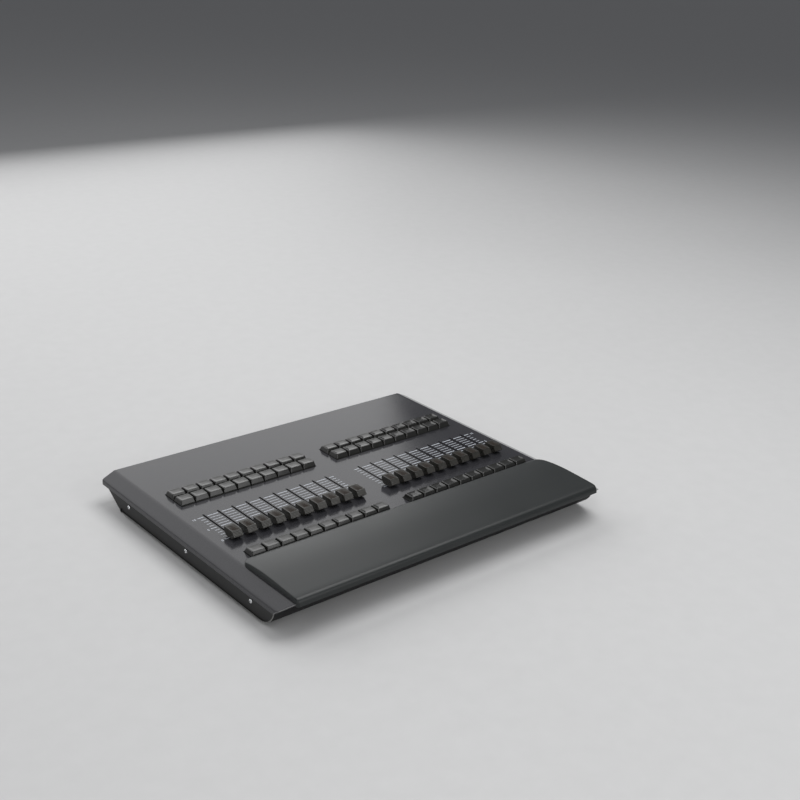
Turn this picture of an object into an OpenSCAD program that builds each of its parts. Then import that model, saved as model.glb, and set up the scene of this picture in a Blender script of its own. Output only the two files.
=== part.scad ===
// Twenty-fader lighting control desk: folded sheet cover over a folded base pan,
// two end cheeks, a moulded armrest, two banks of ten slide faders and sixty keys.
// Origin: centre of the footprint on the table. X to the operator's right,
// Y away from the operator, Z up.

/* [Case] */
// Overall width over the folded side lips
body_w = 502; // [500:0.5:506]
// Overall depth, armrest nose to rear flange
body_d = 400; // [400:0.5:404]
// Height of the panel surface above the table
panel_z = 41; // [40:0.5:44]
// Sheet thickness of cover and pan
sheet_t = 1.5; // [1.2:0.1:1.6]
// Width of the sloping side strip
bevel_w = 17; // [16.5:0.1:17.5]
// Drop of the sloping side strip
bevel_h = 8; // [6:0.5:9]
// Depth of the folded-down lip below the panel surface
lip_h = 15; // [14:0.5:17]
// How far the front face leans back below the panel
nose_l = 17.2; // [15:0.1:18]
// Height of the rubber feet
foot_h = 4; // [3:0.5:4.5]
// Bend radius along the front of the base pan
pan_r = 28; // [24:1:29]

/* [Faders] */
// Centre distance of neighbouring faders and keys
pitch = 20; // [20:0.1:20.4]
// Centre of the inner fader from the middle of the desk
bank_gap = 26.8; // [26:0.1:28]
// Fader travel
fader_travel = 60; // [45:5:60]
// Width of the fader slots
slot_w = 2.4; // [2:0.1:3]
// Width of a fader knob
knob_w = 13; // [10:0.5:14]
// Length of a fader knob
knob_l = 22; // [18:0.5:24]
// Height of a fader knob's top above the panel
knob_top = 11.6; // [10:0.2:13]

/* [Keys] */
// Width and depth of a keycap at its base
key_s = 19.4; // [18:0.1:19.5]
// Height of a keycap's top above the panel
key_top = 6.6; // [5.5:0.1:8]
// Key travel
key_travel = 3; // [1.5:0.5:3]

/* [Armrest] */
// Thickness of the armrest at its crown
rest_t = 8.6; // [7:0.2:10]
// Corner radius at the armrest's rear corners
rest_r = 10; // [6:1:14]
// Corner radius at the armrest's front corners
nose_r = 3; // [2:0.5:6]
// Drop of the armrest's nose below the panel surface
nose_h = 3.6; // [3:0.1:5]

/* [Hidden] */
$fn = 64;
hw = body_w / 2;             // half width
fw = hw - bevel_w;           // half width of the flat
yb = body_d / 2;             // rear flange
yt = -yb + 2.3;              // front edge of the panel, behind the armrest's nose
yf = yt + nose_l;            // foot of the leaning front face
pz = panel_z;
pan_z = foot_h;              // underside of the pan
pan_y0 = yf + 1;             // front of the pan
pan_y1 = yb - 42;            // rear wall of the pan
pan_w = hw - 2;              // half width of the pan
cheek_x = hw - 3.5;          // outer face of a cheek
cheek_t = 2;
y_rest = -36;                // fader at the foot of its scale
row_a = 92;                  // centre of the rear key row
row_b = 72;                  // centre of the second key row
row_c = -81;                 // centre of the front key row
board_z = pz - 11;           // component side of the bank boards
board_t = 1.6;
screw_z = pz - 22.5;          // cheek screws
fix_y = [-133, 1.5, 136];    // fixings along each side
rest_x = [-200, -100, 0, 100, 200];
eps = 0.01;
function bank_x(k) = k < 10 ? -bank_gap - (9 - k) * pitch : bank_gap + (k - 10) * pitch;
function pad2(k) = str(k < 10 ? "0" : "", k);
bank_c = [(bank_x(0) + bank_x(9)) / 2, (bank_x(10) + bank_x(19)) / 2];

// ---- helpers ---------------------------------------------------------------
// Box from a low corner to a high corner
module box(a, b) { translate(a) cube([b[0] - a[0], b[1] - a[1], b[2] - a[2]]); }
// Outline drawn in Y and Z, extruded along X from x0 to x1
module along_x(x0, x1) { translate([x0, 0, 0]) rotate([90, 0, 90]) linear_extrude(x1 - x0) children(); }
// Outline drawn in X and Z, extruded along Y from y0 to y1
module along_y(y0, y1) { translate([0, y1, 0]) rotate([90, 0, 0]) linear_extrude(y1 - y0) children(); }

// Block enclosed by the folded cover; e moves every face in by the sheet thickness
module cover_block(e, low) {
  a = atan(bevel_h / bevel_w);
  sx = fw - e * tan(a / 2);
  sz = pz - (bevel_w - e) * tan(a) - e / cos(a);
  k = nose_l / lip_h; // lean of the front face
  function fy(z) = yt + k * (pz - z) + e * norm([1, k]);
  intersection() {
    along_y(-yb - 5, yb + 5)
      polygon([[-hw + e, low], [-hw + e, sz], [-sx, pz - e], [sx, pz - e], [hw - e, sz], [hw - e, low]]);
    along_x(-hw - 5, hw + 5)
      polygon([[fy(low), low], [fy(pz - e), pz - e], [yb - e, pz - e], [yb - e, low]]);
  }
}

module m3_screw() { // head above z = 0, shank below
  cylinder(r = 2.8, h = 1.8, $fn = 32);
  translate([0, 0, -6]) cylinder(r = 1.45, h = 6 + eps, $fn = 32);
}
module m3_nut() {
  difference() {
    cylinder(r = 3.15, h = 2.4, $fn = 6);
    translate([0, 0, -1]) cylinder(r = 1.55, h = 5, $fn = 32);
  }
}

// ---- case ------------------------------------------------------------------
module top_cover() {
  color([0.27, 0.27, 0.27]) {
    difference() {
      difference() {
        cover_block(0, pz - lip_h);
        cover_block(sheet_t, pz - lip_h - 20);
      }
      // the front face ends above the side lips, clear of the pan
      box([-hw + sheet_t, yf - 6, pz - lip_h - 1], [hw - sheet_t, yf + 6, pz - lip_h + 2]);
      // fader slots
      for (k = [0:19])
        box([bank_x(k) - slot_w / 2, y_rest - 7, pz - 5], [bank_x(k) + slot_w / 2, y_rest + fader_travel + 7, pz + 1]);
      // key openings, one for two rear rows and one for the front row on each bank
      for (c = bank_c) {
        w = 4.5 * pitch + key_s / 2 + 0.6;
        h = key_s / 2 + 0.6;
        box([c - w, row_b - h, pz - 5], [c + w, row_a + h, pz + 1]);
        box([c - w, row_c - h, pz - 5], [c + w, row_c + h, pz + 1]);
      }
      // holes for the armrest studs
      for (x = rest_x) translate([x, -130, pz - 5]) cylinder(r = 1.7, h = 10, $fn = 32);
    }
    // welded studs that hold the cover to the fixing blocks
    for (s = [-1, 1], y = fix_y)
      translate([s * (fw - 8.5), y, pz - 12.5]) cylinder(r = 1.45, h = 12.5 - sheet_t + eps, $fn = 32);
  }
}

module base_pan() {
  color([0.33, 0.33, 0.34]) difference() {
    union() {
      // floor
      box([-pan_w, pan_y0 + pan_r, pan_z], [pan_w, pan_y1, pan_z + sheet_t]);
      // large bend that turns the floor up into the front wall
      intersection() {
        translate([-pan_w, pan_y0 + pan_r, pan_z + pan_r]) rotate([0, 90, 0]) difference() {
          cylinder(r = pan_r, h = 2 * pan_w, $fn = 128);
          translate([0, 0, -1]) cylinder(r = pan_r - sheet_t, h = 2 * pan_w + 2, $fn = 128);
        }
        union() {
          box([-pan_w, pan_y0 - 1, pan_z - 1], [pan_w, pan_y0 + pan_r, pz - 10]);
          box([-pan_w + 4, pan_y0 - 1, pan_z - 1], [pan_w - 4, pan_y0 + 5, pz - 7.5]);
        }
      }
      // rear wall and its top flange
      box([-cheek_x + cheek_t + 0.2, pan_y1 - sheet_t, pan_z], [cheek_x - cheek_t - 0.2, pan_y1, pz - 9.5]);
      box([-fw + 3, pan_y1 - sheet_t, pz - 10], [fw - 3, pan_y1, pz - sheet_t - 0.2]);
      box([-fw + 3, pan_y1 - 11, pz - 2 * sheet_t - 0.2], [fw - 3, pan_y1, pz - sheet_t - 0.2]);
    }
    for (s = [-1, 1], y = fix_y) translate([s * (hw - 11.5), y, 0]) cylinder(r = 1.7, h = 10, $fn = 32);
    for (x = [-38, 38], y = [112, 148]) translate([x, y, 0]) cylinder(r = 1.7, h = 10, $fn = 32);
    // opening for the USB socket
    box([-6.4, pan_y1 - 5, pan_z + 7.7], [6.4, pan_y1 + 1, pan_z + 19.5]);
  }
}

module cheek_plate() { // left side, outline in Y and Z
  r = pan_r - sheet_t - 0.3;
  cy = pan_y0 + pan_r;
  cz = pan_z + pan_r;
  floor_z = pan_z + sheet_t + 0.2;
  top_z = pz - 10.5;
  difference() {
    union() {
      along_x(-cheek_x, -cheek_x + cheek_t)
        polygon([[cy, floor_z], [pan_y1 + 5, floor_z], [yb - 3, pz - 14], [yb - 3, top_z], [cy, top_z]]);
      intersection() {
        translate([-cheek_x, cy, cz]) rotate([0, 90, 0]) cylinder(r = r, h = cheek_t, $fn = 128);
        box([-cheek_x - 1, cy - r - 1, pan_z], [-cheek_x + cheek_t + 1, cy + eps, top_z]);
      }
    }
    for (y = fix_y) translate([-cheek_x - 1, y, screw_z]) rotate([0, 90, 0]) cylinder(r = 1.7, h = 5, $fn = 32);
  }
}
module left_cheek() { color([0.2, 0.2, 0.2]) cheek_plate(); }
module right_cheek() { color([0.2, 0.2, 0.2]) mirror([1, 0, 0]) cheek_plate(); }

// Aluminium blocks that tie cheeks, pan and cover together
module fixing_block() { // left side, centred on Y = 0
  x1 = -cheek_x + cheek_t;
  difference() {
    along_y(-7, 7) polygon([
      [x1, pan_z + sheet_t], [x1, pz - 12], [-fw + 2, pz - 4], [-fw + 2, pz - sheet_t], [-fw + 15, pz - sheet_t],
      [-fw + 15, pz - 8], [-fw + 3, pz - 8], [x1 + 12, pz - 13], [x1 + 12, pan_z + sheet_t]]);
    translate([x1 - 1, 0, screw_z]) rotate([0, 90, 0]) cylinder(r = 1.55, h = 9, $fn = 32);
    translate([-hw + 11.5, 0, pan_z - 1]) cylinder(r = 1.55, h = 8.5, $fn = 32);
    translate([-fw + 8.5, 0, pz - 20]) cylinder(r = 1.6, h = 30, $fn = 32);
  }
}
module fixing_blocks() {
  color("silver") for (y = fix_y) {
    translate([0, y, 0]) fixing_block();
    translate([0, y, 0]) mirror([1, 0, 0]) fixing_block();
  }
}

module stud_nuts() {
  color("gold") {
    for (s = [-1, 1], y = fix_y) translate([s * (fw - 8.5), y, pz - 10.4]) m3_nut();
    for (x = rest_x) translate([x, -130, pz - sheet_t - 2.4]) m3_nut();
  }
}

module m3_screws() {
  color("silver") {
    // cheek screws
    for (s = [-1, 1], y = fix_y) translate([s * cheek_x, y, screw_z]) rotate([0, s * 90, 0]) m3_screw();
    // pan to fixing blocks, from below
    for (s = [-1, 1], y = fix_y) translate([s * (hw - 11.5), y, pan_z]) rotate([180, 0, 0]) m3_screw();
    // bank boards to their pillars, from below
    for (c = bank_c, x = [-92, 0, 92], y = [48, -60])
      translate([c + x, y, board_z - board_t]) rotate([180, 0, 0]) m3_screw();
    // main board to the pan, from below
    for (x = [-38, 38], y = [112, 148]) translate([x, y, pan_z]) rotate([180, 0, 0]) m3_screw();
  }
}

module rubber_feet() {
  color([0.08, 0.08, 0.08]) for (x = [-205, 205], y = [-128, 120])
    translate([x, y, 0]) rotate_extrude($fn = 64)
      polygon([[0, 0], [8.4, 0], [9.2, 0.6], [10, pan_z], [0, pan_z]]);
}

// ---- armrest ---------------------------------------------------------------
module armrest() {
  y0 = row_c - key_s / 2 - 1.8; // rear edge
  // crowned upper side: [distance behind the nose, height above the panel / crown]
  top = [[0, -0.28], [0.5, 0.12], [1.9, 0.42], [4.6, 0.64], [9, 0.73], [18, 0.8], [30, 0.87], [44, 0.95], [58, 1],
         [70, 0.99], [82, 0.92], [93, 0.81], [101, 0.69], [105.3, 0.58]];
  color([0.3, 0.31, 0.31]) {
    intersection() {
      along_x(-fw + 0.5, fw - 0.5) polygon(concat(
        // nose that hangs down in front of the panel's edge
        [[-yb + 2.1, pz], [-yb + 2.1, pz - nose_h + 0.2], [-yb + 1, pz - nose_h], [-yb + 0.2, pz - nose_h + 0.5]],
        [for (p = top) [-yb + p[0], pz + p[1] * rest_t]],
        [[y0, pz + 0.42 * rest_t], [y0, pz]]));
      // rounded corners
      union() {
        box([-fw, -yb + nose_r, 0], [fw, y0 - rest_r, pz + 50]);
        box([-fw + 0.5 + rest_r, -yb + nose_r, 0], [fw - 0.5 - rest_r, y0 + 1, pz + 50]);
        box([-fw + 0.5 + nose_r, -yb - 1, 0], [fw - 0.5 - nose_r, y0 - rest_r, pz + 50]);
        for (s = [-1, 1]) {
          translate([s * (fw - 0.5 - rest_r), y0 - rest_r, 0]) cylinder(r = rest_r, h = pz + 50, $fn = 64);
          translate([s * (fw - 0.5 - nose_r), -yb + nose_r, 0]) cylinder(r = nose_r, h = pz + 50, $fn = 64);
        }
      }
    }
    // studs moulded into the armrest
    for (x = rest_x) translate([x, -130, pz - 5]) cylinder(r = 1.45, h = 5 + eps, $fn = 32);
  }
}

// ---- inside ----------------------------------------------------------------
module bank_boards() {
  color([0.05, 0.3, 0.15]) for (c = bank_c) difference() {
    union() {
      box([c - 100, -94, board_z - board_t], [c + 100, 103, board_z]);
      s = c > 0 ? 1 : -1;
      box([s * 48 - 16, 100, board_z - board_t], [s * 48 + 16, 144, board_z]);      // tab over the main board
      box([s * 48 - 4, 117, board_z - board_t - 4], [s * 48 + 4, 143, board_z]);    // cable header
    }
    for (x = [-92, 0, 92], y = [48, -60]) translate([c + x, y, board_z - 5]) cylinder(r = 1.6, h = 10, $fn = 32);
  }
}
module board_pillars() {
  color("gold") {
    for (c = bank_c, x = [-92, 0, 92], y = [48, -60]) translate([c + x, y, board_z]) difference() {
      cylinder(r = 2.7, h = 11 - sheet_t, $fn = 6);
      translate([0, 0, -1]) cylinder(r = 1.55, h = 7, $fn = 32);
    }
    for (x = [-38, 38], y = [112, 148]) translate([x, y, pan_z + sheet_t]) difference() {
      cylinder(r = 2.7, h = 5, $fn = 6);
      translate([0, 0, -1]) cylinder(r = 1.55, h = 7, $fn = 32);
    }
  }
}

// Slide potentiometer bodies with a running channel for the carriage
module fader_track(x) {
  y0 = y_rest - 10;
  y1 = y_rest + fader_travel + 10;
  difference() {
    box([x - 4.5, y0, board_z], [x + 4.5, y1, pz - 3]);
    box([x - 2.6, y0 + 3, board_z + 1.5], [x + 2.6, y1 - 3, pz - 4.1]);
    box([x - 1, y0 + 3, pz - 5], [x + 1, y1 - 3, pz]);
  }
}
module fader_tracks() { color([0.65, 0.65, 0.67]) for (k = [0:19]) fader_track(bank_x(k)); }

module fader(k) {
  x = bank_x(k);
  a = knob_l / 2;
  color([0.2, 0.2, 0.2]) // carriage inside the track
    box([x - 2.2, y_rest - 5, board_z + 1.9], [x + 2.2, y_rest + 5, pz - 4.6]);
  color("silver") // flat metal lever
    box([x - 0.7, y_rest - 2.5, pz - 4.6 - eps], [x + 0.7, y_rest + 2.5, pz + 1.3 + eps]);
  color([0.35, 0.33, 0.3]) // knob
    along_x(x - knob_w / 2, x + knob_w / 2)
      polygon([[y_rest - a + 4.6, pz + 1.3], [y_rest + a - 5, pz + 1.3], [y_rest + a - 1.3, pz + 4.8],
               [y_rest + a - 0.6, pz + knob_top - 0.8], [y_rest + a - 1.2, pz + knob_top], [y_rest - a + 4.4, pz + knob_top],
               [y_rest - a + 3.8, pz + knob_top - 0.5], [y_rest - a, pz + 5.6], [y_rest - a, pz + 4.9]]);
}

// One keycap, base centred at [x, y], with its plunger below
module keycap(x, y) {
  h = key_s / 2;
  z0 = pz - 3;
  color([0.38, 0.38, 0.36]) intersection() {
    along_y(y - h, y + h) polygon([[x - h, z0], [x + h, z0], [x + h, pz], [x + h - 1.25, pz + key_top], [x - h + 1.25, pz + key_top], [x - h, pz]]);
    along_x(x - h, x + h) polygon([[y - h, z0], [y + h, z0], [y + h, pz], [y + h - 3.3, pz + key_top], [y - h + 2.9, pz + key_top], [y - h, pz]]);
  }
  color([0.75, 0.75, 0.7]) box([x - 2, y - 2, board_z + 3.4], [x + 2, y + 2, z0]);
}
module key_row(bank, y) { for (k = [0:9]) keycap(bank_x(bank * 10 + k), y); }

module key_switch(x, y) {
  top = pz - 3 - key_travel - 0.3;
  difference() {
    box([x - 6, y - 6, board_z], [x + 6, y + 6, top]);
    box([x - 2.3, y - 2.3, board_z + 0.2], [x + 2.3, y + 2.3, top + 1]);
  }
}
module key_switches() {
  color([0.1, 0.1, 0.1]) for (k = [0:19], y = [row_a, row_b, row_c]) key_switch(bank_x(k), y);
}

module main_board() {
  z = pan_z + sheet_t + 5;
  color([0.05, 0.3, 0.15]) difference() {
    box([-45, 100, z], [45, pan_y1 - sheet_t - 0.5, z + board_t]);
    for (x = [-38, 38], y = [112, 148]) translate([x, y, 0]) cylinder(r = 1.6, h = 40, $fn = 32);
  }
  color([0.1, 0.1, 0.1]) { // processor, headers
    box([-8, 112, z + board_t], [8, 128, z + board_t + 1.6]);
    for (s = [-1, 1]) box([s * 27 - 4, 117, z + board_t], [s * 27 + 4, 143, z + board_t + 5]);
  }
}

module usb_socket() {
  z = pan_z + sheet_t + 5 + board_t;
  color([0.8, 0.8, 0.82]) difference() {
    box([-6, pan_y1 - 16, z], [6, pan_y1 + 0.6, z + 11]);
    box([-4.3, pan_y1 - 9, z + 1.5], [4.3, pan_y1 + 2, z + 9.5]);
  }
}

// Flat cables from the main board's headers up to plugs below each bank board
module ribbon(s) {
  z0 = pan_z + sheet_t + 5 + board_t + 5;  // top of the header
  z1 = board_z - board_t - 4;              // underside of the plug
  t = 0.9;
  r = 2.6;
  // centre line: up out of the header, over, along and up into the plug
  c = concat([[27, z0]], [for (a = [180:-15:90]) [27 + r + r * cos(a), z0 + 1 + r * sin(a)]],
    [for (a = [-90:15:0]) [48 - r + r * cos(a), z0 + 1 + 2 * r + r * sin(a)]], [[48, z1]]);
  n = len(c);
  function nrm(i) = let (d = c[min(i + 1, n - 1)] - c[max(i - 1, 0)]) [-d[1], d[0]] / norm(d) * t / 2;
  color([0.55, 0.56, 0.6]) along_y(118, 142)
    polygon(concat([for (i = [0:n - 1]) [s * (c[i] + nrm(i))[0], (c[i] + nrm(i))[1]]],
                   [for (i = [n - 1:-1:0]) [s * (c[i] - nrm(i))[0], (c[i] - nrm(i))[1]]]));
}
module ribbon_cables() { ribbon(-1); ribbon(1); }

top_cover();
base_pan();
left_cheek();
right_cheek();
armrest();
stud_nuts();
m3_screws();
fixing_blocks();
rubber_feet();
bank_boards();
board_pillars();
fader_tracks();
key_switches();
main_board();
usb_socket();
ribbon_cables();
key_row(0, row_a);  // rear_keys_left
key_row(1, row_a);  // rear_keys_right
key_row(0, row_b);  // middle_keys_left
key_row(1, row_b);  // middle_keys_right
fader(0);  // fader_01
fader(1);  // fader_02
fader(2);  // fader_03
fader(3);  // fader_04
fader(4);  // fader_05
fader(5);  // fader_06
fader(6);  // fader_07
fader(7);  // fader_08
fader(8);  // fader_09
fader(9);  // fader_10
fader(10);  // fader_11
fader(11);  // fader_12
fader(12);  // fader_13
fader(13);  // fader_14
fader(14);  // fader_15
fader(15);  // fader_16
fader(16);  // fader_17
fader(17);  // fader_18
fader(18);  // fader_19
fader(19);  // fader_20
keycap(bank_x(0), row_c);  // flash_key_01
keycap(bank_x(1), row_c);  // flash_key_02
keycap(bank_x(2), row_c);  // flash_key_03
keycap(bank_x(3), row_c);  // flash_key_04
keycap(bank_x(4), row_c);  // flash_key_05
keycap(bank_x(5), row_c);  // flash_key_06
keycap(bank_x(6), row_c);  // flash_key_07
keycap(bank_x(7), row_c);  // flash_key_08
keycap(bank_x(8), row_c);  // flash_key_09
keycap(bank_x(9), row_c);  // flash_key_10
keycap(bank_x(10), row_c);  // flash_key_11
keycap(bank_x(11), row_c);  // flash_key_12
keycap(bank_x(12), row_c);  // flash_key_13
keycap(bank_x(13), row_c);  // flash_key_14
keycap(bank_x(14), row_c);  // flash_key_15
keycap(bank_x(15), row_c);  // flash_key_16
keycap(bank_x(16), row_c);  // flash_key_17
keycap(bank_x(17), row_c);  // flash_key_18
keycap(bank_x(18), row_c);  // flash_key_19
keycap(bank_x(19), row_c);  // flash_key_20
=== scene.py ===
import math
import bpy, bmesh
from mathutils import Matrix, Vector


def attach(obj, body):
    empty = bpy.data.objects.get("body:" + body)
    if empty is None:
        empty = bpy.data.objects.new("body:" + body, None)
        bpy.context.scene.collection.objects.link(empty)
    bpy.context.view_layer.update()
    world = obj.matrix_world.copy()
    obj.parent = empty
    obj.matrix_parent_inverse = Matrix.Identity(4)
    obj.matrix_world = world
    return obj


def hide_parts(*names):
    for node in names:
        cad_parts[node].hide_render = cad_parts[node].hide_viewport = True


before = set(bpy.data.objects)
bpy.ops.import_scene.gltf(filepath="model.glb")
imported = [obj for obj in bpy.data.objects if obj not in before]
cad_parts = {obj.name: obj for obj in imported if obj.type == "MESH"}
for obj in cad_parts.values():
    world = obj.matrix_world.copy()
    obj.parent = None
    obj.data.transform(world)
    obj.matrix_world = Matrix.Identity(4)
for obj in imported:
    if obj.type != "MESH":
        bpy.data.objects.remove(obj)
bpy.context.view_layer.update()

MM = 0.001
D = bpy.data
SC = bpy.context.scene
COL = SC.collection

# ---------------------------------------------------------------- camera
cam_data = D.cameras.new("camera")
cam_data.sensor_width = 36.0
cam_data.lens = 55.35
cam = D.objects.new("camera", cam_data)
right = Vector((0.765376302, -0.642160141, 0.042772294))
down = Vector((-0.212280136, -0.314634740, -0.925171402))
fwd = Vector((0.607565848, 0.699024559, -0.377131816))
m = Matrix((right, -down, -fwd)).transposed().to_4x4()
m.translation = Vector((-0.884831627, -1.095625343, 0.726476110))
cam.matrix_world = m
cam_data.clip_end = 200
COL.objects.link(cam)
SC.camera = cam

# ---------------------------------------------------------------- sizes, mm, in the frame of the CAD
PZ = 41.0
HW, FW = 251.0, 234.0
YB, YT, YF = 200.0, -197.7, -180.5
LIP_Z = 26.0
T = 1.5
PITCH, GAP = 20.0, 26.8
Y_REST, TRAVEL = -36.0, 60.0
ROWS = (92.0, 72.0, -81.0)
KEY = 19.4


def bank_x(k):
    return -GAP - (9 - k) * PITCH if k < 10 else GAP + (k - 10) * PITCH


BANKS = ((bank_x(0) + bank_x(9)) / 2, (bank_x(10) + bank_x(19)) / 2)


# ---------------------------------------------------------------- node helpers
def new_mat(name):
    mt = D.materials.new(name)
    mt.use_nodes = True
    nt = mt.node_tree
    nt.nodes.clear()
    out = nt.nodes.new("ShaderNodeOutputMaterial")
    bs = nt.nodes.new("ShaderNodeBsdfPrincipled")
    nt.links.new(bs.outputs[0], out.inputs[0])
    return mt, nt, bs


def noise(nt, coord, scale, detail=2.0, rough=0.5, stretch=None):
    n = nt.nodes.new("ShaderNodeTexNoise")
    n.inputs["Scale"].default_value = scale
    n.inputs["Detail"].default_value = detail
    n.inputs["Roughness"].default_value = rough
    src = coord
    if stretch:
        mp = nt.nodes.new("ShaderNodeMapping")
        mp.inputs["Scale"].default_value = stretch
        nt.links.new(coord, mp.inputs["Vector"])
        src = mp.outputs[0]
    nt.links.new(src, n.inputs["Vector"])
    return n


def ramp(nt, fac, stops):
    r = nt.nodes.new("ShaderNodeValToRGB")
    el = r.color_ramp.elements
    while len(el) > 1:
        el.remove(el[-1])
    el[0].position, el[0].color = stops[0][0], (*stops[0][1], 1)
    for p, c in stops[1:]:
        e = el.new(p)
        e.color = (*c, 1)
    nt.links.new(fac, r.inputs[0])
    return r


def rng(nt, fac, a, b, lo=0.0, hi=1.0):
    r = nt.nodes.new("ShaderNodeMapRange")
    r.inputs["From Min"].default_value = lo
    r.inputs["From Max"].default_value = hi
    r.inputs["To Min"].default_value = a
    r.inputs["To Max"].default_value = b
    nt.links.new(fac, r.inputs["Value"])
    return r


def scaled(c, k):
    return tuple(max(0.0, min(1.0, x * k)) for x in c)


def surface(name, base, rough=(0.4, 0.5), grain=1500.0, bump=0.2, dist=0.00006, var=0.12, cloud=14.0, cloud_var=0.06,
            metallic=0.0, spec=0.5, coat=0.0, coat_rough=0.3, sheen=0.0, stretch=None, detail=3.0, wear=None):
    """One procedural finish: fine grain in colour, roughness and bump, and a faint large-scale unevenness."""
    mt, nt, bs = new_mat(name)
    co = nt.nodes.new("ShaderNodeTexCoord").outputs["Object"]
    g = noise(nt, co, grain, detail, 0.55, stretch)
    c = noise(nt, co, cloud, 3.0, 0.6)
    fine = ramp(nt, g.outputs[0], [(0.28, scaled(base, 1 - var)), (0.72, scaled(base, 1 + var))])
    big = ramp(nt, c.outputs[0], [(0.3, (1 - cloud_var,) * 3), (0.7, (1 + 0,) * 3)])
    mix = nt.nodes.new("ShaderNodeMix")
    mix.data_type = "RGBA"
    mix.blend_type = "MULTIPLY"
    mix.inputs[0].default_value = 1.0
    nt.links.new(fine.outputs[0], mix.inputs[6])
    nt.links.new(big.outputs[0], mix.inputs[7])
    colour = mix.outputs[2]
    if wear:
        geo = nt.nodes.new("ShaderNodeNewGeometry")
        edge = rng(nt, geo.outputs["Pointiness"], 0.0, wear[1], 0.52, 0.62)
        m2 = nt.nodes.new("ShaderNodeMix")
        m2.data_type = "RGBA"
        nt.links.new(edge.outputs[0], m2.inputs[0])
        nt.links.new(colour, m2.inputs[6])
        m2.inputs[7].default_value = (*wear[0], 1)
        colour = m2.outputs[2]
    nt.links.new(colour, bs.inputs["Base Color"])
    r = rng(nt, c.outputs[0], rough[0], rough[1], 0.3, 0.7)
    nt.links.new(r.outputs[0], bs.inputs["Roughness"])
    b = nt.nodes.new("ShaderNodeBump")
    b.inputs["Strength"].default_value = bump
    b.inputs["Distance"].default_value = dist
    nt.links.new(g.outputs[0], b.inputs["Height"])
    nt.links.new(b.outputs[0], bs.inputs["Normal"])
    bs.inputs["Metallic"].default_value = metallic
    bs.inputs["Specular IOR Level"].default_value = spec
    bs.inputs["Coat Weight"].default_value = coat
    bs.inputs["Coat Roughness"].default_value = coat_rough
    if sheen:
        bs.inputs["Sheen Weight"].default_value = sheen
    return mt


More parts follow.
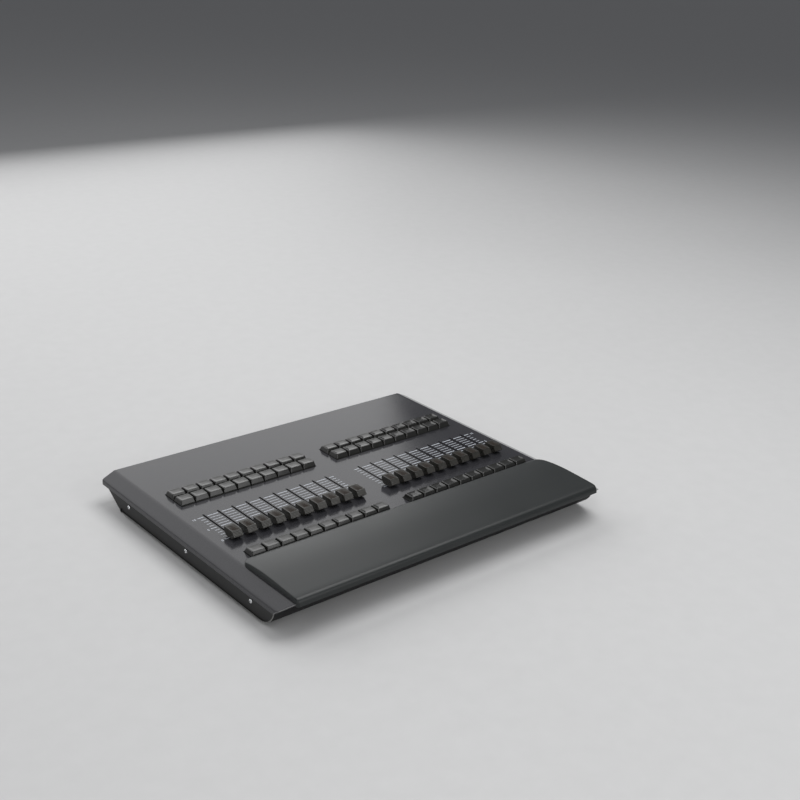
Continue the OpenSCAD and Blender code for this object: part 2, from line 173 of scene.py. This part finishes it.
M = {
    "panel": surface("panel_powder_coat", (0.03, 0.03, 0.034), (0.13, 0.17), grain=900, bump=0.12, dist=0.00005, var=0.2, spec=0.36),
    # painted shade: the pan has the panel's paint, but is made darker and less glossy here so that it looks shaded
    # under the desk
    "pan": surface("pan_powder_coat_darkened_as_shade", (0.022, 0.022, 0.0225), (0.5, 0.58), grain=900, bump=0.25, dist=0.00006, var=0.2, spec=0.08),
    # painted highlight: a lighter paint for the front fold's bend, standing in for the light line the bend catches
    "fold": surface("front_fold_painted_highlight", (0.17, 0.17, 0.17), (0.22, 0.28), grain=900, bump=0.1, dist=0.00004, var=0.12, spec=0.5),
    # painted highlight: a light colour for thin strips on the pan's side edges, standing in for the light the edge
    # catches
    "pan_edge": surface("pan_cut_edge", (0.15, 0.15, 0.145), (0.4, 0.5), grain=900, bump=0.25, dist=0.00006, var=0.2, spec=0.4),
    "cheek": surface("cheek_powder_coat", (0.02, 0.02, 0.02), (0.42, 0.5), grain=900, bump=0.25, dist=0.00006, var=0.2, spec=0.26),
    "rest": surface("armrest_satin_moulding", (0.017, 0.0195, 0.0195), (0.34, 0.4), grain=2600, bump=0.1, dist=0.00003, var=0.08,
                    cloud=8, cloud_var=0.05, spec=0.36),
    "key": surface("keycap_plastic", (0.019, 0.019, 0.0175), (0.14, 0.18), grain=2400, bump=0.1, dist=0.00003, var=0.12, cloud=60, spec=0.5),
    "knob": surface("fader_knob_plastic", (0.024, 0.0225, 0.0185), (0.26, 0.32), grain=2200, bump=0.22, dist=0.00005, var=0.2, cloud=90, spec=0.4),
    # painted shade: the grip insert is darker and duller than the knob so that the knob's top reads darker than its lit
    # front slope
    "grip": surface("fader_grip_insert_painted_shade", (0.022, 0.016, 0.012), (0.5, 0.6), grain=2200, bump=0.25, dist=0.00005, var=0.25, cloud=90, spec=0.12),
    "rubber": surface("foot_rubber", (0.018, 0.018, 0.018), (0.7, 0.85), grain=1200, bump=0.3, var=0.25, spec=0.3),
    "zinc": surface("zinc_plated_steel", (0.72, 0.73, 0.74), (0.2, 0.3), grain=1500, bump=0.05, dist=0.00002, var=0.05, metallic=1.0),
    "brass": surface("turned_brass", (0.72, 0.55, 0.27), (0.25, 0.35), grain=1400, bump=0.06, var=0.06, metallic=1.0, stretch=(1, 1, 6)),
    "alu": surface("machined_aluminium", (0.76, 0.77, 0.78), (0.32, 0.42), grain=700, bump=0.12, var=0.06, metallic=1.0, stretch=(1, 12, 1)),
    "resin": surface("board_solder_resist", (0.015, 0.11, 0.045), (0.25, 0.34), grain=600, bump=0.08, var=0.15, coat=0.3),
    "tin": surface("tinned_steel", (0.62, 0.62, 0.63), (0.3, 0.42), grain=900, bump=0.08, var=0.08, metallic=1.0, stretch=(1, 8, 1)),
    "black": surface("switch_black_plastic", (0.02, 0.02, 0.021), (0.4, 0.5), grain=1800, bump=0.15, var=0.2),
    "nickel": surface("nickel_shell", (0.68, 0.67, 0.64), (0.16, 0.26), grain=900, bump=0.04, var=0.05, metallic=1.0),
    "ribbon": surface("ribbon_insulation", (0.36, 0.37, 0.4), (0.45, 0.55), grain=800, bump=0.25, var=0.12, stretch=(0.05, 1, 0.05)),
    "ink": surface("printed_white_ink", (0.52, 0.55, 0.6), (0.5, 0.6), grain=2600, bump=0.1, dist=0.00002, var=0.14, spec=0.4),
    "white_plastic": surface("socket_tongue", (0.8, 0.8, 0.78), (0.4, 0.5), grain=1500, bump=0.1, var=0.04),
    "gold": surface("gold_contacts", (0.85, 0.62, 0.25), (0.2, 0.3), grain=1500, bump=0.03, var=0.04, metallic=1.0),
    # painted shade: a near-black material for the slots, standing in for the shade inside them
    "shadow": surface("slot_painted_shadow", (0.006, 0.006, 0.006), (0.9, 1.0), grain=1500, bump=0.4, var=0.3, spec=0.1),
}


# ---------------------------------------------------------------- mesh helpers
def obj_from(name, verts, faces, mat, body="desk", angle=32.0, place=None, replaces=(), unit=MM):
    me = D.meshes.new(name)
    me.from_pydata([(x * unit, y * unit, z * unit) for x, y, z in verts], [], faces)
    me.validate()
    return obj_mesh(name, me, mat, body, angle, place, replaces)


def obj_mesh(name, me, mat, body="desk", angle=32.0, place=None, replaces=()):
    o = D.objects.new(name, me)
    COL.objects.link(o)
    if not me.materials:
        me.materials.append(M[mat])
    if angle is not None:
        me.shade_smooth()
        me.set_sharp_from_angle(angle=math.radians(angle))
    if place is not None:
        o.location = [c * MM for c in place]
    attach(o, body)
    if replaces:
        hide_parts(*replaces)
    return o


def even_normals(me, angle):
    """Flat faces stay flat-shaded right up to their rounded edges."""
    me.shade_smooth()
    me.set_sharp_from_angle(angle=math.radians(angle))
    o = D.objects.new("tmp_normals", me)
    COL.objects.link(o)
    md = o.modifiers.new("even", "WEIGHTED_NORMAL")
    md.mode = "FACE_AREA"
    md.keep_sharp = True
    bpy.context.view_layer.update()
    dg = bpy.context.evaluated_depsgraph_get()
    out = D.meshes.new_from_object(o.evaluated_get(dg), preserve_all_data_layers=True, depsgraph=dg)
    out.name = me.name + "_n"
    D.objects.remove(o)
    return out


def bm_mesh(name, bm):
    bmesh.ops.recalc_face_normals(bm, faces=bm.faces)
    me = D.meshes.new(name)
    bm.to_mesh(me)
    bm.free()
    return me


def boxes_mesh(name, boxes):
    """Closed boxes ((x0, y0, z0), (x1, y1, z1)) in mm."""
    bm = bmesh.new()
    for a, b in boxes:
        vs = [bm.verts.new((x * MM, y * MM, z * MM)) for x in (a[0], b[0]) for y in (a[1], b[1]) for z in (a[2], b[2])]
        for f in ((0, 1, 3, 2), (4, 6, 7, 5), (0, 4, 5, 1), (2, 3, 7, 6), (0, 2, 6, 4), (1, 5, 7, 3)):
            bm.faces.new([vs[i] for i in f])
    return bm_mesh(name, bm)


def rrect(x0, x1, y0, y1, r, n=4):
    r = max(0.01, min(r, (x1 - x0) / 2 - 0.01, (y1 - y0) / 2 - 0.01))
    pts = []
    for cx, cy, a0 in ((x1 - r, y1 - r, 0), (x0 + r, y1 - r, 90), (x0 + r, y0 + r, 180), (x1 - r, y0 + r, 270)):
        for i in range(n + 1):
            a = math.radians(a0 + 90 * i / n)
            pts.append((cx + r * math.cos(a), cy + r * math.sin(a)))
    return pts


def loft(rings, cap0=True, cap1=True):
    """Rings of equal length, each a list of (x, y, z)."""
    n = len(rings[0])
    verts = [p for r in rings for p in r]
    faces = []
    for j in range(len(rings) - 1):
        for i in range(n):
            k = (i + 1) % n
            faces.append((j * n + i, j * n + k, (j + 1) * n + k, (j + 1) * n + i))
    if cap0:
        faces.append(tuple(reversed(range(n))))
    if cap1:
        faces.append(tuple(range((len(rings) - 1) * n, len(rings) * n)))
    return verts, faces


def join(*parts):
    verts, faces = [], []
    for v, f in parts:
        k = len(verts)
        verts += list(v)
        faces += [tuple(i + k for i in face) for face in f]
    return verts, faces


def prism(outline, z0, z1):
    return loft([[(x, y, z0) for x, y in outline], [(x, y, z1) for x, y in outline]])


def mesh_of(name, vf, fix=True):
    me = D.meshes.new(name)
    me.from_pydata([(x * MM, y * MM, z * MM) for x, y, z in vf[0]], [], vf[1])
    if fix:
        bm = bmesh.new()
        bm.from_mesh(me)
        bmesh.ops.recalc_face_normals(bm, faces=bm.faces)
        bm.to_mesh(me)
        bm.free()
    me.validate()
    return me


def carve(name, base, cutters, op="DIFFERENCE"):
    """base and cutters are meshes; returns the carved mesh."""
    o = D.objects.new(name + "_tmp", base)
    COL.objects.link(o)
    tmp = []
    for i, c in enumerate(cutters):
        t = D.objects.new(f"{name}_cut{i}", c)
        COL.objects.link(t)
        tmp.append(t)
        md = o.modifiers.new(f"b{i}", "BOOLEAN")
        md.operation = op
        md.solver = "EXACT"
        md.object = t
    bpy.context.view_layer.update()
    dg = bpy.context.evaluated_depsgraph_get()
    me = D.meshes.new_from_object(o.evaluated_get(dg), depsgraph=dg)
    me.name = name
    for t in tmp + [o]:
        old = t.data
        D.objects.remove(t)
        if old.users == 0:
            D.meshes.remove(old)
    me.materials.clear()
    return me


# ---------------------------------------------------------------- cover: folded sheet with rounded bends
def cover_block(e, low, bend):
    """Solid bounded by the folded cover, every face moved in by e, its bends rounded."""
    h = 8.0
    a = math.atan(h / (HW - FW))
    sx, sz = FW - e * math.tan(a / 2), PZ - (HW - FW - e) * math.tan(a) - e / math.cos(a)
    lean = (YF - YT) / (PZ - LIP_Z)

    def fy(z):
        return YT + lean * (PZ - z) + e * math.hypot(1, lean)

    pts = []
    for s in (-1, 1):
        for x, z in ((sx, PZ - e), (HW - e, sz), (HW - e, low)):
            pts += [(s * x, fy(z), z), (s * x, YB - e, z)]
    bm = bmesh.new()
    for p in pts:
        bm.verts.new([c * MM for c in p])
    bmesh.ops.convex_hull(bm, input=bm.verts)
    bmesh.ops.dissolve_limit(bm, angle_limit=math.radians(1.0), verts=bm.verts, edges=bm.edges)
    up = []
    for ed in bm.edges:
        free = max(v.co.z for v in ed.verts) / MM < low + 1
        if not free and ed.calc_face_angle(0.0) > math.radians(8):
            up.append(ed)
    bmesh.ops.bevel(bm, geom=up, offset=bend * MM, offset_type="OFFSET", segments=4, profile=0.5, affect="EDGES", clamp_overlap=True)
    return bm_mesh("cover_block", bm)


cut = []
for k in range(20):
    x = bank_x(k)
    cut.append(prism(rrect(x - 1.2, x + 1.2, Y_REST - 7, Y_REST + TRAVEL + 7, 1.15, 5), PZ - 5, PZ + 2))
for c in BANKS:
    w, h = 4.5 * PITCH + KEY / 2 + 0.6, KEY / 2 + 0.6
    cut.append(prism(rrect(c - w, c + w, ROWS[1] - h, ROWS[0] + h, 0.8, 3), PZ - 5, PZ + 2))
    cut.append(prism(rrect(c - w, c + w, ROWS[2] - h, ROWS[2] + h, 0.8, 3), PZ - 5, PZ + 2))
foot_cut = boxes_mesh("front_foot", [((-HW + T, YF - 6, LIP_Z - 1), (HW - T, YF + 6, LIP_Z + 2))])
cover = carve("top_cover_sheet", cover_block(0, LIP_Z, 2.4), [cover_block(T, LIP_Z - 20, 0.5), mesh_of("cuts", join(*cut)), foot_cut])
cover = even_normals(cover, 28)
for mt in ("panel", "fold"):
    cover.materials.append(M[mt])
for p in cover.polygons:  # painted highlight: the faces of the front fold get a lighter paint that stands in for the bright line the bend catches
    p.material_index = 1 if p.normal.y < -0.2 and p.normal.z > -0.45 and p.center.y / MM < YF else 0
obj_mesh("top_cover_sheet", cover, "panel", angle=None, replaces=("top_cover",))


# ---------------------------------------------------------------- base pan: one bent sheet
def sweep_x(path, t, x0, x1):
    """A sheet of thickness t whose outer side follows path (list of (y, z)), its inside to the left of travel."""
    n = len(path)
    inner = []
    for i in range(n):
        a, b = path[max(i - 1, 0)], path[min(i + 1, n - 1)]
        dy, dz = b[0] - a[0], b[1] - a[1]
        l = math.hypot(dy, dz)
        inner.append((path[i][0] - dz / l * t, path[i][1] + dy / l * t))
    ring = path + inner[::-1]
    return loft([[(x, y, z) for y, z in ring] for x in (x0, x1)])


def arc(cy, cz, r, a0, a1, n):
    return [(cy + r * math.cos(math.radians(a0 + (a1 - a0) * i / n)), cz + r * math.sin(math.radians(a0 + (a1 - a0) * i / n))) for i in range(n + 1)]


PY0, PY1, PR, PZ0 = YF + 1, YB - 42, 28.0, 4.0
path = [(PY0, PZ - 7.5)] + arc(PY0 + PR, PZ0 + PR, PR, 180, 270, 28) + arc(PY1 - 2, PZ0 + 2, 2.0, -90, 0, 6) + [(PY1, PZ - 1.9)]
pan = mesh_of("base_pan_sheet", sweep_x(path, T, -HW + 2, HW - 2))
side_cut = []
for s in (-1, 1):
    side_cut.append(((min(s * 245.3, s * 252), PY1 - 3.9, PZ0 + 4), (max(s * 245.3, s * 252), PY1 + 3, PZ + 5)))
    side_cut.append(((min(s * 231, s * 252), PY1 - 3.9, PZ - 10), (max(s * 231, s * 252), PY1 + 3, PZ + 5)))
for s in (-1, 1):
    side_cut.append(((min(s * 245, s * 252), PY0 - 3, PZ - 10), (max(s * 245, s * 252), PY0 + 5, PZ)))
side_cut.append(((-6.4, PY1 - 5, PZ0 + 7.7), (6.4, PY1 + 3, PZ0 + 19.5)))
pan = carve("base_pan_sheet", pan, [boxes_mesh(f"pan_cut_{i}", [c]) for i, c in enumerate(side_cut)])
assert len(pan.polygons) > 60
obj_mesh("base_pan_sheet", even_normals(pan, 30), "pan", angle=None, replaces=("base_pan",))
# painted highlight: thin light strips on the pan's side edges stand in for the light line the edge catches
for side, s in (("left", -1), ("right", 1)):
    strip = sweep_x([(PY0, PZ - 10.2)] + arc(PY0 + PR, PZ0 + PR, PR, 180, 270, 28) + [(PY1 - 4.5, PZ0)], T, s * (HW - 2) - 0.02, s * (HW - 2) + 0.02)
    obj_mesh(f"pan_cut_edge_{side}", mesh_of(f"pan_cut_edge_{side}", strip), "pan_edge")
obj_mesh("pan_top_flange", boxes_mesh("pan_top_flange", [((-231, PY1 - 11, PZ - 3.2), (231, PY1 - 0.4, PZ - 1.7))]), "pan")


# ---------------------------------------------------------------- armrest: one crowned moulding
def catmull(pts, n):
    out = []
    for i in range(len(pts) - 1):
        p0, p1, p2, p3 = pts[max(i - 1, 0)], pts[i], pts[i + 1], pts[min(i + 2, len(pts) - 1)]
        for k in range(n):
            t = k / n
            out.append(tuple(0.5 * (2 * p1[j] + (p2[j] - p0[j]) * t + (2 * p0[j] - 5 * p1[j] + 4 * p2[j] - p3[j]) * t * t
                                    + (3 * p1[j] - p0[j] - 3 * p2[j] + p3[j]) * t ** 3) for j in range(2)))
    out.append(pts[-1])
    return out


RT = 8.6
top = [(0.0, -0.28), (0.5, 0.12), (1.9, 0.42), (4.6, 0.64), (9, 0.735), (18, 0.8), (30, 0.87), (44, 0.95), (58, 1.0), (70, 0.99),
       (82, 0.92), (93, 0.81), (101, 0.69), (105.0, 0.58)]
YA = ROWS[2] - KEY / 2 - 1.8
prof = catmull([(-YB + 1.3, PZ - 3.55), (-YB + 0.45, PZ - 3.2)] + [(-YB + d, PZ + f * RT) for d, f in top], 5)
prof += [(YA - 0.75, PZ + 4.4), (YA - 0.15, PZ + 3.4), (YA, PZ + 2.4), (YA, PZ + 0.05)]
under = [(-159.0, PZ + 0.02), (-YB + 2.5, PZ + 0.02), (-YB + 2.15, PZ - 0.3), (-YB + 2.15, PZ - 3.1), (-YB + 1.9, PZ - 3.5)]
ring0 = prof + under
npf = len(prof)


def section(e, r_top=1.0, r_back=10.0, r_nose=3.0):
    """The armrest's section e mm from its end, drawn in so that ends and corners are round."""
    def inset(r):
        return 0.0 if e >= r else r - math.sqrt(max(0.0, r * r - (r - e) ** 2))
    dz, db, dn = inset(r_top), inset(r_back), inset(r_nose)
    out = []
    for i, (y, z) in enumerate(ring0):
        t = (y - (-YB)) / (YA + YB)
        yy = y + dn * (1 - t) ** 6 - db * t ** 6
        zz = z
        if i < npf and z > PZ - 3:
            zz = z - dz * min(1.0, max(0.0, (z - PZ) / 4.0))
        out.append((yy, zz))
    return out


AX = FW - 0.5
es = sorted(set([round(r * (1 - math.cos(math.radians(a))), 4) for r in (1.0, 3.0, 10.0) for a in range(0, 91, 10)] + [16, 40, 90, 150]))
stations = [(-AX + e, e) for e in es] + [(0, 300)] + [(AX - e, e) for e in reversed(es)]
rings = [[(x, y, z) for y, z in section(e)] for x, e in stations]
rest = mesh_of("armrest_moulding", loft(rings))
obj_mesh("armrest_moulding", rest, "rest", angle=38, replaces=("armrest",))


# ---------------------------------------------------------------- keycaps
def keycap_vf():
    n = 5
    rings = []

    def out(h, inset=0.0, r=0.9):
        k = max(h, 0) / 6.6
        return [(x, y) for x, y in rrect(-9.7 + 1.25 * k + inset, 9.7 - 1.25 * k - inset, -9.7 + 2.9 * k + inset, 9.7 - 3.3 * k - inset, r, n)]

    for z, r in ((-3.0, 0.7), (0.0, 0.8), (2.0, 1.0), (4.0, 1.2), (5.7, 1.35)):
        rings.append([(x, y, z) for x, y in out(z, 0, r)])
    for a in (22.5, 45, 67.5, 90):
        q = math.radians(a)
        rings.append([(x, y, 5.7 + 0.9 * math.sin(q)) for x, y in out(5.7 + 0.9 * math.sin(q), 0.8 * (1 - math.cos(q)), 1.35)])
    for d in (1.3, 2.2, 3.2, 4.2, 5.1):
        z = 6.6 - 0.55 * (1 - (1 - (d - 0.8) / 5.0) ** 2)
        rings.append([(x, y, z) for x, y in out(6.6, d, max(1.35 - 0.1 * d, 0.5))])
    cap = loft(rings)
    stem = prism(rrect(-2, 2, -2, 2, 0.3, 2), -7.6, -2.9)
    return join(cap, stem)


key_mesh = even_normals(mesh_of("keycap", keycap_vf()), 40)
key_mesh.materials.append(M["key"])
for k in range(20):
    nm = f"flash_key_{k + 1:02d}"
    obj_mesh(f"flash_keycap_{k + 1:02d}", key_mesh, "key", body=nm, angle=None, place=(bank_x(k), ROWS[2], PZ), replaces=(nm,))
for label, row in (("rear", ROWS[0]), ("middle", ROWS[1])):
    for side, ks in (("left", range(10)), ("right", range(10, 20))):
        nm = f"{label}_keys_{side}"
        for k in ks:
            o = obj_mesh(f"{label}_keycap_{k + 1:02d}", key_mesh, "key", body=nm, angle=None, place=(bank_x(k), row, PZ))
            if k == ks[0]:
                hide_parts(nm)


# ---------------------------------------------------------------- fader knobs, levers and carriages
RIDGE, TOE = (-6.4, 11.6), (-11.0, 5.3)


def knob_vf():
    """Section in Y and Z about the knob's centre: a dished top behind a crisp ridge, and a ribbed front slope."""
    sec = [(-6.2, 1.3), (6.0, 1.3), (9.7, 4.8), (10.4, 10.7), (10.2, 11.25), (9.7, 11.45)]
    n = 12
    top = [(9.0 + (RIDGE[0] + 0.5 - 9.0) * i / n, i / n) for i in range(n + 1)]
    for y, f in top:
        sec.append((y, 11.5))
    sec += [(RIDGE[0], RIDGE[1]), (RIDGE[0] - 0.25, RIDGE[1] - 0.2)]
    m = 5
    for i in range(1, m * 2):  # ribs on the front slope
        f = i / (m * 2)
        y, z = RIDGE[0] + (TOE[0] - RIDGE[0]) * f, RIDGE[1] + (TOE[1] - RIDGE[1]) * f
        k = 0.22 if i % 2 else 0.0
        sec.append((y + k * 0.82, z - k * 0.57))
    sec += [(-10.95, 5.6), (-10.9, 5.0)]
    xs = [(-6.5, 0.3), (-6.44, 0.12), (-6.3, 0.0)] + [(x, 0.0) for x in (-5.6, -5.0, -3.2, -1.6, 0, 1.6, 3.2, 5.0, 5.6)] \
        + [(6.3, 0.0), (6.44, 0.12), (6.5, 0.3)]
    rings = []
    for x, d in xs:
        ring = []
        for i, (y, z) in enumerate(sec):
            dish = 0.0
            if 6 <= i < 6 + n + 1 and abs(x) < 5.3:  # hollow for the fingertip
                f = (i - 6) / n
                dish = 1.1 * min(1.0, 6 * f, 12 * (1 - f)) * (0.45 + 0.55 * f) * (1 - 0.15 * abs(x) / 5)
            ring.append((x, y * (1 - d / 11.0), 6.4 + (z - 6.4) * (1 - d / 5.2) - dish))
        rings.append(ring)
    return loft(rings)


def grip_vf():
    """Ribbed insert lying in the hollow of the knob."""
    n = 9
    sec = [(-5.3, 9.9), (7.0, 10.6)]
    for i in range(2 * n + 1):
        f = i / (2 * n)
        sec.append((7.0 + (-5.3 - 7.0) * f, 11.25 - 0.62 * (1 - f) * 0.6 - 0.72 * f + (0.0 if i % 2 else 0.22)))
    return loft([[(x, y, z - (0.12 if abs(x) > 5.0 else 0.0)) for y, z in sec] for x in (-5.15, -4.9, 4.9, 5.15)])


knob_mesh = even_normals(mesh_of("fader_knob", knob_vf()), 24)
knob_mesh.materials.append(M["knob"])
# the grip insert's darker colour is painted shade on the knob's top
grip_mesh = mesh_of("fader_grip", grip_vf())
grip_mesh.materials.append(M["grip"])
lever_mesh = mesh_of("fader_lever", prism(rrect(-0.7, 0.7, -2.5, 2.5, 0.25, 2), -4.6, 1.6))
lever_mesh.materials.append(M["tin"])
carriage_mesh = mesh_of("fader_carriage", prism(rrect(-2.2, 2.2, -5, 5, 0.5, 2), -9.1, -4.6))
carriage_mesh.materials.append(M["black"])
for k in range(20):
    nm = f"fader_{k + 1:02d}"
    at = (bank_x(k), Y_REST, PZ)
    obj_mesh(f"{nm}_knob", knob_mesh, "knob", body=nm, angle=None, place=at, replaces=(nm,))
    obj_mesh(f"{nm}_grip", grip_mesh, "grip", body=nm, angle=None if k else 20, place=at)
    obj_mesh(f"{nm}_lever", lever_mesh, "tin", body=nm, angle=None, place=at)
    obj_mesh(f"{nm}_carriage", carriage_mesh, "black", body=nm, angle=None, place=at)


# ---------------------------------------------------------------- printed scales
marks = []
zt = PZ + 0.03


def dash(x0, x1, y, w):
    marks.append(prism(rrect(x0, x1, y - w / 2, y + w / 2, w * 0.3, 2), PZ - 0.02, zt))


for b in (0, 1):
    for k in range(10):
        x = bank_x(b * 10 + k)
        for i in range(11):
            y = Y_REST + 1.0 + 6 * i
            major = i % 5 == 0
            wd = 1.25 if major else 0.85
            for s in (-1, 1):
                a0 = 2.8 if major else 3.0
                a1 = 9.98 if major else 9.9
                if (b == 0 and k == 0 and s < 0) or (b == 1 and k == 9 and s > 0):
                    a1 += 1.2 if major else -0.6
                dash(min(x + s * a0, x + s * a1), max(x + s * a0, x + s * a1), y, wd)
scale = mesh_of("printed_scale", join(*marks))
obj_mesh("printed_scale", scale, "ink", angle=30)
for side, x, al in (("left", -220.3, "RIGHT"), ("right", 220.3, "LEFT")):
    for val, y in (("10", Y_REST + 60), ("5", Y_REST + 30), ("0", Y_REST)):
        cu = D.curves.new(f"figure_{side}_{val}", "FONT")
        cu.body = val
        cu.size = 5.2 * MM
        cu.align_x = al
        cu.align_y = "CENTER"
        cu.extrude = 0.02 * MM
        cu.offset = 0.09 * MM
        t = D.objects.new("tmp_text", cu)
        COL.objects.link(t)
        bpy.context.view_layer.update()
        dg = bpy.context.evaluated_depsgraph_get()
        me = D.meshes.new_from_object(t.evaluated_get(dg), depsgraph=dg)
        D.objects.remove(t)
        me.materials.clear()
        obj_mesh(f"figure_{side}_{val}", me, "ink", angle=30, place=(x, y, PZ + 0.02))


# ---------------------------------------------------------------- screws, feet, socket
def lathe(profile, n=32):
    rings = []
    for r, z in profile:
        rings.append([(r * math.cos(2 * math.pi * i / n), r * math.sin(2 * math.pi * i / n), z) for i in range(n)])
    return rings


def screw_vf():
    n = 24
    rings = lathe([(1.45, -6.0), (1.45, 0.0), (2.8, 0.0), (2.8, 0.35), (2.72, 0.75), (2.5, 1.15), (2.1, 1.5), (1.6, 1.72), (1.35, 1.78)], n)

    def hexr(i):
        a = (2 * math.pi * i / n) % (math.pi / 3) - math.pi / 6
        return 1.0 / math.cos(a)

    for s, z in ((1.0, 1.76), (0.97, 0.6)):
        rings.append([(hexr(i) * s * math.cos(2 * math.pi * i / n), hexr(i) * s * math.sin(2 * math.pi * i / n), z) for i in range(n)])
    rings.append([(0.15 * math.cos(2 * math.pi * i / n), 0.15 * math.sin(2 * math.pi * i / n), 0.45) for i in range(n)])
    return loft(rings)


screw_mesh = mesh_of("pan_head_screw", screw_vf())
screw_mesh.materials.append(M["zinc"])
FIX_Y = (-133.0, 1.5, 136.0)
spots = []
for s in (-1, 1):
    for y in FIX_Y:
        spots.append(((s * (HW - 3.5), y, PZ - 22.5), Matrix.Rotation(s * math.pi / 2, 4, "Y")))
        spots.append(((s * (HW - 11.5), y, PZ0), Matrix.Rotation(math.pi, 4, "X")))
for c in BANKS:
    for dx in (-92, 0, 92):
        for y in (48, -60):
            spots.append(((c + dx, y, PZ - 12.6), Matrix.Rotation(math.pi, 4, "X")))
for x in (-38, 38):
    for y in (112, 148):
        spots.append(((x, y, PZ0), Matrix.Rotation(math.pi, 4, "X")))
for i, (p, r) in enumerate(spots):
    o = D.objects.new(f"screw_{i + 1:02d}", screw_mesh)
    COL.objects.link(o)
    if i == 0:
        screw_mesh.shade_smooth()
        screw_mesh.set_sharp_from_angle(angle=math.radians(35))
    spin = Matrix.Rotation(math.radians(37 * i % 60), 4, "Z")
    o.matrix_world = Matrix.Translation([c * MM for c in p]) @ r @ spin
    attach(o, "desk")
    if i == 0:
        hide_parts("m3_screws")

foot_mesh = mesh_of("rubber_foot", loft(lathe([(0.2, 0.9), (2.9, 0.9), (3.1, 0.5), (3.4, 0.12), (4.0, 0.0), (8.0, 0.0), (8.6, 0.12), (9.0, 0.5),
                                               (9.25, 1.2), (9.9, 3.7), (10.0, 4.0), (0.2, 4.0)], 48)))
foot_mesh.materials.append(M["rubber"])
for i, (x, y) in enumerate(((-205, -128), (205, -128), (-205, 120), (205, 120))):
    o = obj_mesh(f"foot_{i + 1}", foot_mesh, "rubber", angle=None if i else 30, place=(x, y, 0))
    if i == 0:
        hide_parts("rubber_feet")

uz = PZ0 + T + 5 + 1.6
obj_mesh("socket_tongue", mesh_of("socket_tongue", loft([[(x, y, z) for x, z in rrect(-2.8, 2.8, uz + 4, uz + 7.2, 0.4, 3)] for y in (PY1 - 9, PY1 - 1.0)])), "white_plastic")
obj_mesh("socket_contacts", boxes_mesh("socket_contacts", [((dx - 0.55, PY1 - 8, z - 0.08), (dx + 0.55, PY1 - 1.6, z + 0.08)) for dx in (-1.25, 1.25) for z in (uz + 4, uz + 7.2)]), "gold")

# ---------------------------------------------------------------- CAD nodes that stay, with finished materials
NODE_MAT = {"left_cheek": "cheek", "right_cheek": "cheek", "stud_nuts": "brass", "fixing_blocks": "alu", "bank_boards": "resin",
            "board_pillars": "brass", "fader_tracks": "tin", "key_switches": "black", "main_board": "resin", "usb_socket": "nickel",
            "ribbon_cables": "ribbon"}
for name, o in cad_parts.items():
    mt = NODE_MAT.get(name)
    if mt is None:
        mt = {"fader": "knob", "flash": "key"}.get(name.split("_")[0], "panel")
    o.data.materials.clear()
    o.data.materials.append(M[mt])

# ---------------------------------------------------------------- floor and light
fm = surface("studio_floor", (0.58, 0.58, 0.58), (0.6, 0.7), grain=40, bump=0.02, dist=0.001, var=0.015, cloud=1.2, cloud_var=0.02, spec=0.2)
me = D.meshes.new("floor")
S = 60.0
me.from_pydata([(-S, -S, 0), (S, -S, 0), (S, S, 0), (-S, S, 0)], [], [(0, 1, 2, 3)])
me.materials.append(fm)
floor = D.objects.new("floor", me)
COL.objects.link(floor)

world = D.worlds.new("studio")
SC.world = world
world.use_nodes = True
world.node_tree.nodes["Background"].inputs[0].default_value = (0.93, 0.95, 1.0, 1)
world.node_tree.nodes["Background"].inputs[1].default_value = 0.15


def area(name, loc, target, size, power, color=(1, 1, 1), size_y=None):
    li = D.lights.new(name, "AREA")
    li.shape = "RECTANGLE"
    li.size, li.size_y = size, size_y or size
    li.energy = power
    li.color = color
    o = D.objects.new(name, li)
    COL.objects.link(o)
    o.location = loc
    o.rotation_euler = (Vector(target) - Vector(loc)).to_track_quat("-Z", "Y").to_euler()
    o.visible_camera = False
    return o


area("overhead_softbox", (0.75, -0.1, 2.1), (0.05, 0, 0), 1.5, 28, size_y=1.5)
area("back_left_softbox", (-0.48, 1.75, 1.2), (-0.48, 0, 0.3), 4.3, 42, size_y=2.2)
area("front_fill", (0.3, -1.75, 0.85), (-0.1, 0, 0.05), 1.4, 9, size_y=1.0)
area("front_left_strip", (-1.45, -1.25, 1.35), (0, 0, 0.05), 0.3, 12, size_y=1.9)
SC.view_settings.view_transform = "Standard"
